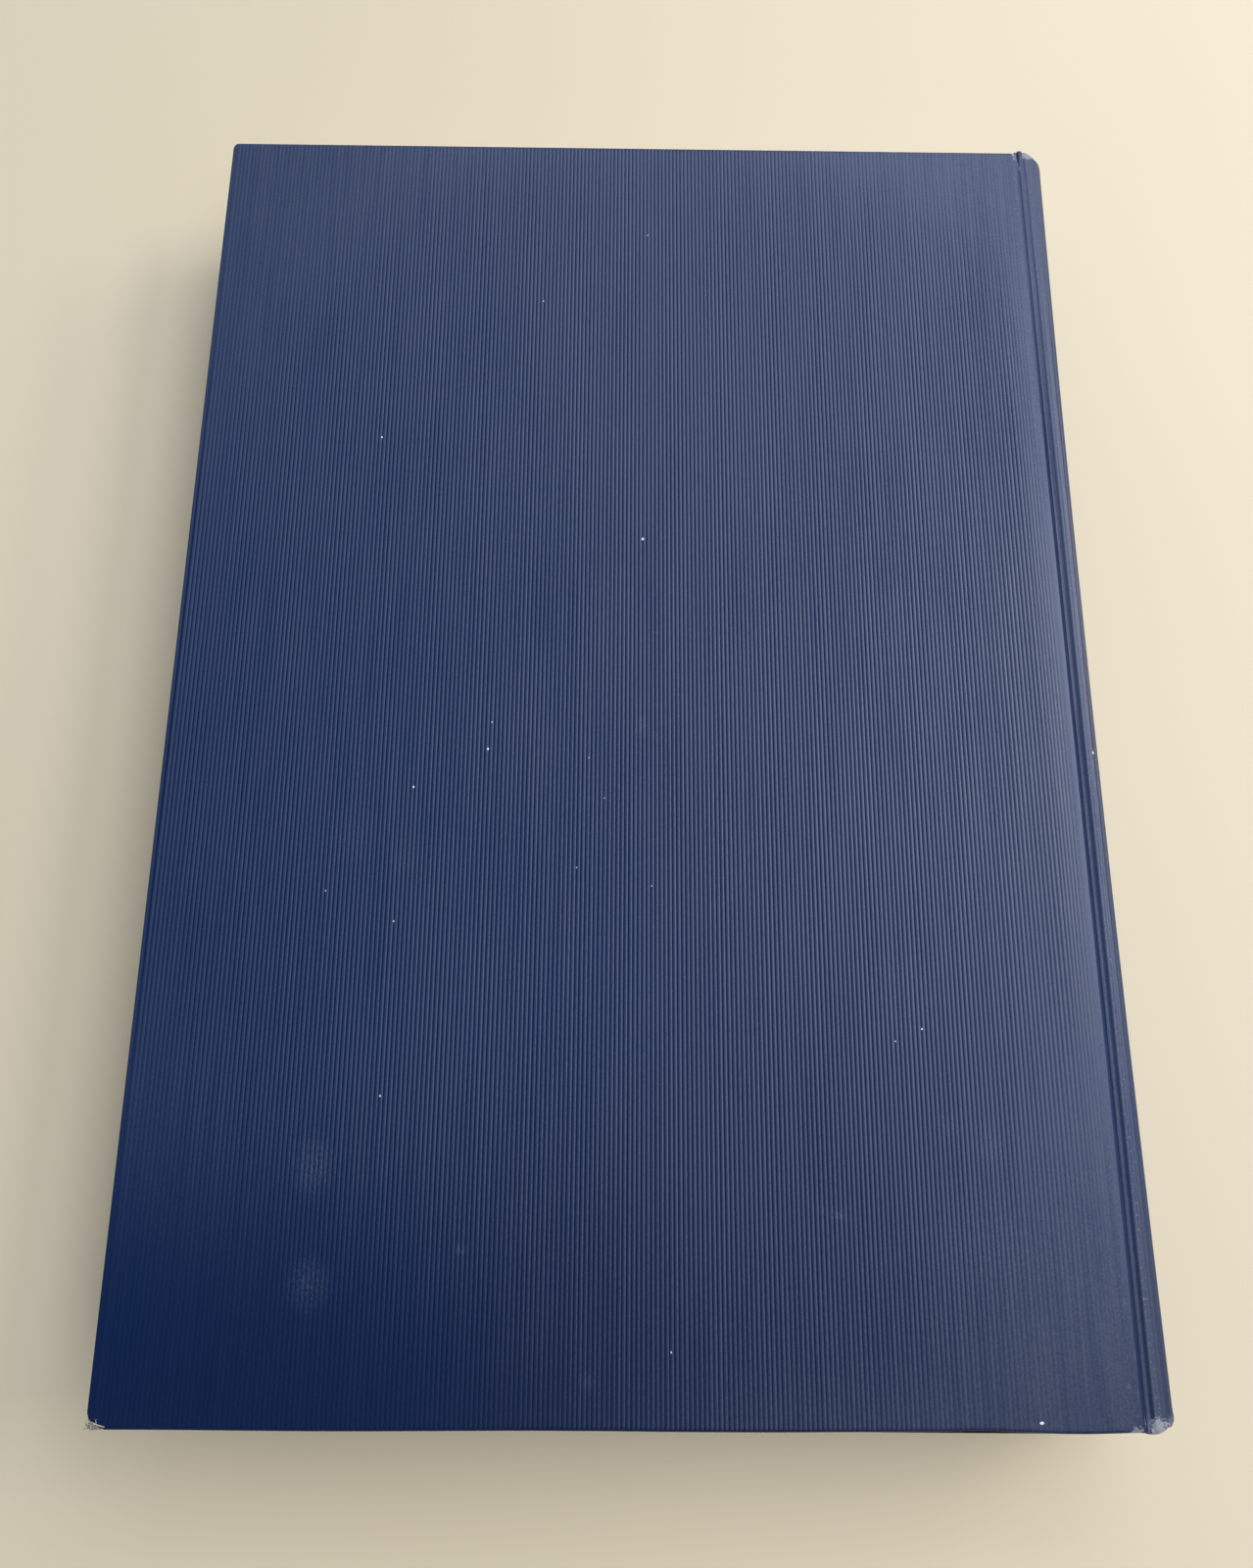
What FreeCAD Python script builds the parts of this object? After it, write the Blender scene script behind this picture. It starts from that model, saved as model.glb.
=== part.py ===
import FreeCAD, Part
import math
import os

os.makedirs("parts", exist_ok=True)

# A case-bound book lying flat with its back cover up.
# +X runs from the fore-edge to the spine, +Y from the tail to the head, +Z up.
# The origin is under the middle of the book's bounding box, on the table. All sizes are in millimetres.

# Pages
PAGE_WIDTH = 178.0           # middle page, from the crown of the rounded spine to the fore-edge
PAGE_HEIGHT = 254.0
PAGES_THICKNESS = 20.8
FORE_EDGE_HOLLOW = 3.0       # how much further out the first and last pages reach than the middle one
FLYLEAF_THICKNESS = 0.2

# Case
SQUARE = 3.0                 # how far the covers stand out past the pages
BOARD_THICKNESS = 2.5
CLOTH_THICKNESS = 0.4
TURN_IN_WIDTH = 15.0
TURN_IN_THICKNESS = 0.3
PASTEDOWN_THICKNESS = 0.2
CORNER_RADIUS = 1.5          # fore-edge corners of the covers, seen from above
EDGE_ROUNDING = 0.5          # cloth rolled over the fore-edge
BAND_ROUNDING = 0.8          # cloth rolled down into the joint groove

# Spine
SPINE_ROUND = 4.5            # how far the crown stands out past the spine at the level of the covers
LINING_THICKNESS = 0.4
INLAY_THICKNESS = 0.9
HOLLOW_GAP = 0.3             # the loose back: room between the lining and the inlay
HEAD_BAND_RADIUS = 0.9
HEAD_BAND_STEM = 0.6         # straight part under the round top of a head or tail band
HEAD_BAND_SHARE = 0.8        # part of the spine's curve that a band covers

# Joint between a cover and the spine
HINGE_TO_CROWN = 7.3
HINGE_DROP = 0.1             # hinge line below the cover's outer face
COVER_TO_HINGE = 1.25
JOINT_CLEARANCE = 0.3
GROOVE_DEPTH = 1.9
CREST_DROP = 0.5             # top of the spine's shoulder below the cover's outer face
CREST_RADIUS = 1.6
SMOOTH_BAND = 1.8            # pressed flat band along the groove, with no ribs

# Ribs of the bookcloth, which run from head to tail
RIB_PITCH = 0.825
RIB_DEPTH = 0.12
RIDGE_SHARE = 0.5            # flat top of a ridge as a part of the pitch

# Levels. The book is the same above and below its middle plane.
cover_thickness = CLOTH_THICKNESS + BOARD_THICKNESS + TURN_IN_THICKNESS + PASTEDOWN_THICKNESS
thickness = PAGES_THICKNESS + 2 * (FLYLEAF_THICKNESS + cover_thickness)
middle = thickness / 2
board_top = thickness - CLOTH_THICKNESS
board_bottom = board_top - BOARD_THICKNESS
turn_in_bottom = board_bottom - TURN_IN_THICKNESS
pastedown_bottom = turn_in_bottom - PASTEDOWN_THICKNESS
pages_top = middle + PAGES_THICKNESS / 2
groove_floor = thickness - GROOVE_DEPTH
lining_shoulder = groove_floor - CLOTH_THICKNESS
pages_shoulder = lining_shoulder - LINING_THICKNESS

# Positions across the book
spine_build = CLOTH_THICKNESS + INLAY_THICKNESS + HOLLOW_GAP + LINING_THICKNESS
width = PAGE_WIDTH + spine_build + FORE_EDGE_HOLLOW + SQUARE
crown_x = width / 2
cover_left = crown_x - width
pages_left = cover_left + SQUARE
pages_left_middle = pages_left + FORE_EDGE_HOLLOW
hinge_x = crown_x - HINGE_TO_CROWN
cover_right = hinge_x - COVER_TO_HINGE
ledge_x = cover_right + JOINT_CLEARANCE

# Positions along the book
half_pages = PAGE_HEIGHT / 2
half_cover = half_pages + SQUARE
half_board = half_cover - CLOTH_THICKNESS
half_recess = half_board - TURN_IN_WIDTH

# The spine's curve is an arc about a line parallel to Y. The shoulder's crest is a small round inside it.
spine_radius = (middle ** 2 + SPINE_ROUND ** 2) / (2 * SPINE_ROUND)
spine_x = crown_x - spine_radius
cloth_inside = spine_radius - CLOTH_THICKNESS
inlay_inside = cloth_inside - INLAY_THICKNESS
turn_in_inside = inlay_inside - HOLLOW_GAP
pages_radius = turn_in_inside - LINING_THICKNESS
crest_z = thickness - CREST_DROP - CREST_RADIUS
crest_angle = math.asin((crest_z - middle) / (spine_radius - CREST_RADIUS))
crest_x = spine_x + (spine_radius - CREST_RADIUS) * math.cos(crest_angle)


def point(x, z, y=0.0):
    """A point of the drawing plane, which is the book's cross-section."""
    return FreeCAD.Vector(x, y, z)


def below(spot):
    """The same point mirrored in the book's middle plane."""
    return point(spot.x, 2 * middle - spot.z, spot.y)


def on_spine(radius, angle):
    """The point of a spine arc at an angle above the middle plane."""
    return point(spine_x + radius * math.cos(angle), middle + radius * math.sin(angle))


def spine_point_at(radius, level):
    """The point of a spine arc at a height."""
    return on_spine(radius, math.asin((level - middle) / radius))


def line(start, end):
    return Part.LineSegment(start, end).toShape()


def arc(start, through, end):
    return Part.Arc(start, through, end).toShape()


def path(points):
    """Straight edges from each point to the next."""
    return [line(start, end) for start, end in zip(points[:-1], points[1:])]


def along_book(edges, half_length):
    """A solid with the closed cross-section, from -half_length to +half_length along Y."""
    face = Part.Face(Part.Wire(Part.__sortEdges__(edges)))
    face.translate(FreeCAD.Vector(0, -half_length, 0))
    return face.extrude(FreeCAD.Vector(0, 2 * half_length, 0))


def block(left, right, half_length, bottom, top):
    """A box that is centred along the book."""
    corner = FreeCAD.Vector(left, -half_length, bottom)
    return Part.makeBox(right - left, 2 * half_length, top - bottom, corner)


def mirrored_down(shape):
    """The front cover's copy of a piece of the back cover."""
    return shape.mirror(FreeCAD.Vector(0, 0, middle), FreeCAD.Vector(0, 0, 1))


def rib_steps(length):
    """Distance along the cloth and depth below a ridge's top, for whole ribs centred in a length."""
    ridge = RIB_PITCH * RIDGE_SHARE
    count = int((length - ridge) / RIB_PITCH)
    start = (length - count * RIB_PITCH - ridge) / 2
    steps = []
    for rib in range(count + 1):
        left = start + rib * RIB_PITCH
        steps.append((left, 0.0))
        steps.append((left + ridge, 0.0))
        if rib < count:
            steps.append((left + (ridge + RIB_PITCH) / 2, RIB_DEPTH))
    return steps


def rounded_plan(left, radius, half_length):
    """A tall block whose two fore-edge corners are rounded, to trim a cover's piece with."""
    tall = block(left, crown_x, half_length, 0, thickness)
    corners = []
    for edge in tall.Edges:
        upright = abs(edge.tangentAt(edge.FirstParameter).z) > 0.5
        if upright and edge.CenterOfMass.x < left + radius:
            corners.append(edge)
    return tall.makeFillet(radius, corners)


def text_block():
    """The pages as one solid: concave fore-edge, rounded spine, and a shoulder by each cover."""
    top_left = point(pages_left, pages_top)
    ledge_foot = point(ledge_x, pages_top)
    ledge_top = point(ledge_x, pages_shoulder)
    tip = spine_point_at(pages_radius, pages_shoulder)
    upper = [top_left, ledge_foot, ledge_top, tip]
    lower = [below(spot) for spot in upper]
    spine = arc(tip, on_spine(pages_radius, 0), below(tip))
    fore_edge = arc(below(top_left), point(pages_left_middle, middle), top_left)
    return along_book(path(upper) + [spine] + path(lower) + [fore_edge], half_pages)


def flyleaf():
    """The free endpaper under the back cover."""
    return block(pages_left, ledge_x, half_pages, pages_top, pages_top + FLYLEAF_THICKNESS)


def spine_lining():
    """Mull and paper glued over the pages' spine, from one ledge to the other."""
    inner = [point(ledge_x, pages_shoulder), spine_point_at(pages_radius, pages_shoulder)]
    outer = [point(ledge_x, lining_shoulder), spine_point_at(turn_in_inside, lining_shoulder)]
    edges = path(inner) + path(outer) + path([inner[0], outer[0]])
    edges += path([below(spot) for spot in inner]) + path([below(spot) for spot in outer])
    edges += path([below(inner[0]), below(outer[0])])
    edges.append(arc(inner[1], on_spine(pages_radius, 0), below(inner[1])))
    edges.append(arc(outer[1], on_spine(turn_in_inside, 0), below(outer[1])))
    return along_book(edges, half_pages)


def spine_sector(inside, outside, low_y, high_y):
    """A curved strip between two spine arcs, from one crest to the other."""
    edges = [
        arc(on_spine(inside, crest_angle), on_spine(inside, 0), on_spine(inside, -crest_angle)),
        arc(on_spine(outside, crest_angle), on_spine(outside, 0), on_spine(outside, -crest_angle)),
        line(on_spine(inside, crest_angle), on_spine(outside, crest_angle)),
        line(on_spine(inside, -crest_angle), on_spine(outside, -crest_angle)),
    ]
    face = Part.Face(Part.Wire(Part.__sortEdges__(edges)))
    face.translate(FreeCAD.Vector(0, low_y, 0))
    return face.extrude(FreeCAD.Vector(0, high_y - low_y, 0))


def on_crest(radius, angle):
    """A point on a round about the upper crest's middle."""
    return point(crest_x + radius * math.cos(angle), crest_z + radius * math.sin(angle))


def crest_round(radius, level):
    """The arc over the upper shoulder, from the groove's level to where the spine's curve takes over."""
    groove_angle = math.pi - math.asin((level - crest_z) / radius)
    start = on_crest(radius, groove_angle)
    end = on_crest(radius, crest_angle)
    return start, arc(start, on_crest(radius, (groove_angle + crest_angle) / 2), end), end


def spine_covering():
    """Cloth over the spine, down into both grooves, and turned in over the inlay at head and tail."""
    outer_start, outer_crest, outer_end = crest_round(CREST_RADIUS, groove_floor)
    inner_start, inner_crest, inner_end = crest_round(CREST_RADIUS - CLOTH_THICKNESS, lining_shoulder)
    groove_top = point(ledge_x, groove_floor)
    groove_bottom = point(ledge_x, lining_shoulder)
    upper = [outer_crest, inner_crest, line(groove_top, outer_start), line(groove_bottom, inner_start)]
    upper.append(line(groove_bottom, groove_top))
    lower = [mirrored_down(edge) for edge in upper]
    ribs = [outer_end]
    for distance, depth in rib_steps(2 * crest_angle * spine_radius):
        ribs.append(on_spine(spine_radius - depth, crest_angle - distance / spine_radius))
    ribs.append(below(outer_end))
    inside = arc(inner_end, on_spine(cloth_inside, 0), below(inner_end))
    cloth = along_book(upper + lower + path(ribs) + [inside], half_cover)
    for side in (-1, 1):
        cap = sorted((side * half_board, side * half_cover))
        lip = sorted((side * half_recess, side * half_cover))
        cloth = cloth.fuse(spine_sector(turn_in_inside, cloth_inside, cap[0], cap[1]))
        cloth = cloth.fuse(spine_sector(turn_in_inside, inlay_inside, lip[0], lip[1]))
    return cloth.removeSplitter()


def head_band():
    """The woven roll at the head of the pages' spine, bent to the spine's curve."""
    inside = pages_radius - 2 * HEAD_BAND_RADIUS
    radius = pages_radius - HEAD_BAND_RADIUS
    shoulder_y = half_pages + HEAD_BAND_STEM
    turn = 2 * HEAD_BAND_SHARE * crest_angle
    base_in = point(spine_x + inside, middle, half_pages)
    base_out = point(spine_x + pages_radius, middle, half_pages)
    top_in = point(spine_x + inside, middle, shoulder_y)
    top_out = point(spine_x + pages_radius, middle, shoulder_y)
    crown = point(spine_x + radius, middle, shoulder_y + HEAD_BAND_RADIUS)
    edges = path([top_in, base_in, base_out, top_out]) + [arc(top_out, crown, top_in)]
    face = Part.Face(Part.Wire(Part.__sortEdges__(edges)))
    axis_point = point(spine_x, middle)
    along = FreeCAD.Vector(0, 1, 0)
    face.rotate(axis_point, along, -math.degrees(turn) / 2)
    return face.revolve(axis_point, along, math.degrees(turn))


def board():
    """The back cover's greyboard."""
    plain = block(cover_left + CLOTH_THICKNESS, cover_right - CLOTH_THICKNESS, half_board,
                  board_bottom, board_top)
    trim = rounded_plan(cover_left + CLOTH_THICKNESS, CORNER_RADIUS - CLOTH_THICKNESS, half_board)
    return plain.common(trim)


def covering():
    """The back cover's cloth: ribbed outside, round the board's edges, and turned in on three sides."""
    rib_start = cover_left + EDGE_ROUNDING
    rib_length = cover_right - SMOOTH_BAND - rib_start
    outline = [point(cover_left, turn_in_bottom), point(cover_left, thickness - EDGE_ROUNDING)]
    for distance, depth in rib_steps(rib_length):
        outline.append(point(rib_start + distance, thickness - depth))
    outline.append(point(cover_right - BAND_ROUNDING, thickness))
    outline.append(point(cover_right, thickness - BAND_ROUNDING))
    outline.append(point(cover_right, turn_in_bottom))
    outline.append(outline[0])
    cloth = along_book(path(outline), half_cover)
    cloth = cloth.common(rounded_plan(cover_left, CORNER_RADIUS, half_cover))
    recess = block(cover_left + CLOTH_THICKNESS + TURN_IN_WIDTH, cover_right - CLOTH_THICKNESS,
                   half_recess, turn_in_bottom, board_bottom)
    return cloth.cut(board()).cut(recess)


def pastedown():
    """Endpaper glued to the board and over the turn-ins."""
    sheet = block(pages_left, cover_right, half_pages, pastedown_bottom, turn_in_bottom)
    filling = block(cover_left + CLOTH_THICKNESS + TURN_IN_WIDTH, cover_right - CLOTH_THICKNESS,
                    half_recess, turn_in_bottom, board_bottom)
    return sheet.fuse(filling).removeSplitter()


back_cover = {"board": board(), "covering": covering(), "pastedown": pastedown(), "flyleaf": flyleaf()}
pieces = {
    "text_block": text_block(),
    "spine_lining": spine_lining(),
    "spine_inlay": spine_sector(inlay_inside, cloth_inside, -half_board, half_board),
    "spine_covering": spine_covering(),
    "head_band": head_band(),
    "tail_band": head_band().mirror(FreeCAD.Vector(0, 0, 0), FreeCAD.Vector(0, 1, 0)),
}
for name, shape in back_cover.items():
    pieces["back_" + name] = shape
    pieces["front_" + name] = mirrored_down(shape)

for name, shape in pieces.items():
    shape.exportStep("parts/" + name + ".step")
    box = shape.BoundBox
    print(name, shape.isValid(), len(shape.Solids), round(shape.Volume, 1),
          [round(v, 2) for v in (box.XMin, box.XMax, box.YMin, box.YMax, box.ZMin, box.ZMax)])
print("hinge line", round(hinge_x, 3), round(thickness - HINGE_DROP, 3), round(HINGE_DROP, 3))
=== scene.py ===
import math

import bmesh
import bpy
import numpy as np
from mathutils import Matrix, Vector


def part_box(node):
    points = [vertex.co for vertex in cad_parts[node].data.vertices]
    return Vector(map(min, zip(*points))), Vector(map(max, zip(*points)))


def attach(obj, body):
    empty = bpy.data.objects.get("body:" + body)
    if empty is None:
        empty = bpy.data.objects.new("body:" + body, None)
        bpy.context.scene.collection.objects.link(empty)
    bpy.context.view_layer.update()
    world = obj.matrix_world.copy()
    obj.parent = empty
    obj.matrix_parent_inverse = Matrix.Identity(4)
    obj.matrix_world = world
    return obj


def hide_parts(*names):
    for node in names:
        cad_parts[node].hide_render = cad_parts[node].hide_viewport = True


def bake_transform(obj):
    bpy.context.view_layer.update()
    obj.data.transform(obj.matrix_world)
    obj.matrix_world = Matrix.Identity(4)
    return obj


# A closed hardback in dark blue ribbed bookcloth, lying back cover up on a pale table.
# Lengths are worked out in millimetres, in the frame's own axes, and become metres in the mesh.

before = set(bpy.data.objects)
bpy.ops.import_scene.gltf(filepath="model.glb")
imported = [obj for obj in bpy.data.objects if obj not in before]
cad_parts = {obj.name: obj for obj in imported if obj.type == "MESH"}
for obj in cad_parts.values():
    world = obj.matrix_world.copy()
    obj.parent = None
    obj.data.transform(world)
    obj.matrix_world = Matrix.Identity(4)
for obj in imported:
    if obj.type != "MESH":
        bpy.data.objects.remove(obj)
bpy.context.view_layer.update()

MM = 0.001

# Cloth
RIB_PITCH = 0.825
RIB_DEPTH = 0.12
FINE_RIB_PITCH = 0.66        # the ribs are pressed closer beside the joint
FINE_RIB_COUNT = 6
SMOOTH_BAND = 1.3            # flat band pressed beside the joint
EDGE_ROLL = 0.6              # cloth rolled over head, tail and fore-edge
JOINT_SLOPE = 0.3            # width over which the cover's cloth slopes into the joint groove
JOINT_DROP = 0.30            # and how far it goes down there
CORNER_ROUND = 1.5
GROOVE_DEPTH = 0.8           # the pressed cloth lies a little above the cut-in floor of the solid
GROOVE_WIDTH = 1.85          # from the cover's edge to the spine's shoulder
GROOVE_RIDGE = 0.20          # the fold of cloth that runs along the groove
RIDGE_PLACE = 0.85           # and its distance from the cover's edge
SHOULDER_RADIUS = 3.2
SPINE_ROUND = 4.5
CASE_EDGE = 1.5              # cloth, card and turned-in cloth together at the spine's head and tail
CAP_LENGTH = 2.6             # the groove fills up with folded cloth this close to head and tail
CAP_LIFT = 0.45
HEAD_LIFT = 0.22             # the groove gets shallower from the middle to the head

# Inside this ellipse on the cover the ribs stay crisp: its middle in x, half its width and half its length
CRISP_MIDDLE = 6.0
CRISP_HALF_X = 130.0
CRISP_HALF_Y = 158.0

# How far a cover's rows of points lie from head or tail after the edge's round, closer at a crushed tail
PLAIN_ROWS = np.array([1.2, 2.2, 3.6, 6.0, 11.0])
CRUSHED_ROWS = np.array([1.0, 1.4, 1.9, 2.4, 3.0, 3.7, 4.6, 6.0, 8.0, 12.0])

# One rib across, as shares of its pitch and of its height
RIB_STEPS = np.array([0.0, 0.2, 0.4, 0.6, 0.8])
RIB_SHAPE = np.array([0.0, 0.7, 1.0, 1.0, 0.7])


def box_of(node):
    """Lowest and highest corner of a CAD node in millimetres."""
    low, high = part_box(node)
    return np.array(low) / MM, np.array(high) / MM


cover_low, cover_high = box_of("back_covering")
spine_low, spine_high = box_of("spine_covering")
pages_low, pages_high = box_of("text_block")
leaf_low, leaf_high = box_of("back_flyleaf")
cover_left, cover_right = cover_low[0], cover_high[0]
half_cover = cover_high[1]
thickness = cover_high[2]
inner_face = cover_low[2]
middle = thickness / 2
crown_x = spine_high[0]
ledge_x = spine_low[0]
half_pages = pages_high[1]

# The spine's curve, found again from its box: a wide arc with a smaller round at each shoulder
pages_top = leaf_low[2]
spine_radius = (middle ** 2 + SPINE_ROUND ** 2) / (2 * SPINE_ROUND)
spine_x = crown_x - spine_radius
shoulder_z = spine_high[2] - SHOULDER_RADIUS
shoulder_angle = math.asin((shoulder_z - middle) / (spine_radius - SHOULDER_RADIUS))
shoulder_x = spine_x + (spine_radius - SHOULDER_RADIUS) * math.cos(shoulder_angle)
groove_floor = thickness - GROOVE_DEPTH
groove_end = cover_right + GROOVE_WIDTH


def smooth(low, high, values):
    """0 below low, 1 above high, and an even S-curve between."""
    t = np.clip((values - low) / (high - low), 0, 1)
    return t * t * (3 - 2 * t)


def soft_noise(shape, seed, passes):
    """Even random values from -1 to 1, blurred along both directions of a grid."""
    values = np.random.default_rng(seed).uniform(-1, 1, shape)
    for _ in range(passes):
        for axis in range(values.ndim):
            if values.shape[axis] > 2:
                values = (np.roll(values, 1, axis) + values + np.roll(values, -1, axis)) / 3
    return values / max(np.abs(values).max(), 1e-9)


def linear(hex_colour):
    """An sRGB colour such as 20406a as linear light, with full alpha."""
    parts = [int(hex_colour[i:i + 2], 16) / 255 for i in (0, 2, 4)]
    light = [p / 12.92 if p <= 0.04045 else ((p + 0.055) / 1.055) ** 2.4 for p in parts]
    return (*light, 1.0)


# Materials


# Settings that many nodes share
SMOOTH = {"interpolation_type": "SMOOTHSTEP"}
TIMES = {"operation": "MULTIPLY"}
COLOURS = {"data_type": "RGBA"}


def new_material(name):
    """A node-based material, with its node tree and its principled shader."""
    material = bpy.data.materials.new(name)
    material.use_nodes = True
    tree = material.node_tree
    shader = tree.nodes["Principled BSDF"]
    return material, tree, shader


def add(tree, kind, inputs, output=0, **settings):
    """Adds one node and returns one of its outputs.

    'inputs' are in the node's own order, or keyed by name or place. Another node's output is linked,
    and a plain value is set. The rest are the node's settings."""
    node = tree.nodes.new("ShaderNode" + kind)
    for key, value in settings.items():
        setattr(node, key, value)
    pairs = inputs.items() if isinstance(inputs, dict) else enumerate(inputs)
    for place, value in pairs:
        if isinstance(value, bpy.types.NodeSocket):
            tree.links.new(value, node.inputs[place])
        else:
            node.inputs[place].default_value = value
    return node.outputs[output]


def place_in_mm(tree, per_mm, shift=(0.0, 0.0, 0.0)):
    """The place on the piece in millimetres, moved by the shift and then scaled along each axis."""
    place = add(tree, "TexCoord", {}, "Object")
    scale = [s / MM for s in per_mm]
    start = [s * k for s, k in zip(shift, per_mm)]
    return add(tree, "Mapping", {"Vector": place, "Scale": scale, "Location": start})


def mottle(tree, per_mm, detail, rough, shift=(0.0, 0.0, 0.0)):
    """An uneven pattern with the given number of features per millimetre along each axis."""
    place = place_in_mm(tree, per_mm, shift)
    return add(tree, "TexNoise", {"Vector": place, "Scale": 1.0, "Detail": detail, "Roughness": rough})


def spot(tree, centre, half_x, half_y, edge):
    """1 inside an ellipse on the cover and 0 outside, with a soft edge that is a share of its size."""
    place = place_in_mm(tree, (1 / half_x, 1 / half_y, 0.0), (-centre[0], -centre[1], 0.0))
    distance = add(tree, "VectorMath", (place,), "Value", operation="LENGTH")
    return add(tree, "MapRange", (distance, 1 - edge, 1.0, 1.0, 0.0), **SMOOTH)


# Rubbed places on the back cover: middle x, y, half width, half height in millimetres, and strength
SCUFFS = [
    (-0.4, -6.7, 1.6, 3.0, 0.75),
    (2.0, -8.5, 0.8, 1.6, 0.5),
    (34.3, -95.9, 2.2, 1.4, 0.9),
    (31.3, -95.1, 1.2, 0.9, 0.6),
    (-31.6, -101.7, 1.5, 1.2, 0.8),
    (-58.1, -88.2, 5.0, 7.0, 0.8),
    (-57.4, -107.3, 5.0, 6.0, 0.6),
    (-55.2, -28.5, 5.0, 8.0, 0.28),
    (-45.5, -33.5, 4.0, 5.0, 0.22),
    (61.8, -83.6, 4.0, 6.0, 0.4),
    (55.0, -81.1, 3.0, 4.0, 0.35),
    (48.0, -58.0, 9.0, 12.0, 0.25),
    (-9.2, -122.3, 2.0, 2.0, 0.5),
    (60.0, -100.0, 14.0, 12.0, 0.22),
    (83.1, -110.1, 0.4, 1.6, 0.9),
    (84.0, -117.9, 0.4, 1.4, 0.9),
    (82.4, -122.8, 0.5, 1.0, 0.9),
    (83.9, -123.9, 0.4, 0.9, 0.9),
]

# The cloth's fold, cracked where the joint begins at the head, written the same way
HEAD_CRACK = [
    (84.3, 129.0, 0.35, 0.7, 9.0),
    (84.5, 128.0, 0.35, 0.8, 9.0),
    (84.8, 126.9, 0.32, 0.8, 9.0),
    (85.05, 125.9, 0.25, 0.7, 9.0),
]

# Pale flecks on the back cover and the spine: middle x, y, half width and half height in millimetres
COVER_FLECKS = [
    (-0.2, 33.1, 0.32, 0.38),
    (-54.9, 55.8, 0.22, 0.26),
    (-30.2, -11.7, 0.24, 0.30),
    (-29.6, -6.3, 0.16, 0.20),
    (-44.2, -19.4, 0.22, 0.26),
    (0.7, 106.5, 0.14, 0.18),
    (-21.9, 89.3, 0.14, 0.18),
    (-10.6, -13.3, 0.12, 0.15),
    (-59.6, -39.5, 0.14, 0.18),
    (-46.5, -45.1, 0.16, 0.20),
    (-47.1, -76.3, 0.20, 0.26),
    (51.0, -64.1, 0.20, 0.24),
    (46.0, -66.3, 0.14, 0.18),
    (4.9, -117.8, 0.16, 0.22),
    (67.2, -128.4, 0.45, 0.30),
    (-7.5, -21.3, 0.13, 0.16),
    (-12.6, -34.8, 0.13, 0.16),
    (1.6, -38.2, 0.13, 0.16),
]
SPINE_FLECKS = [
    (88.1, -11.3, 0.30, 0.30),
]


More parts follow.
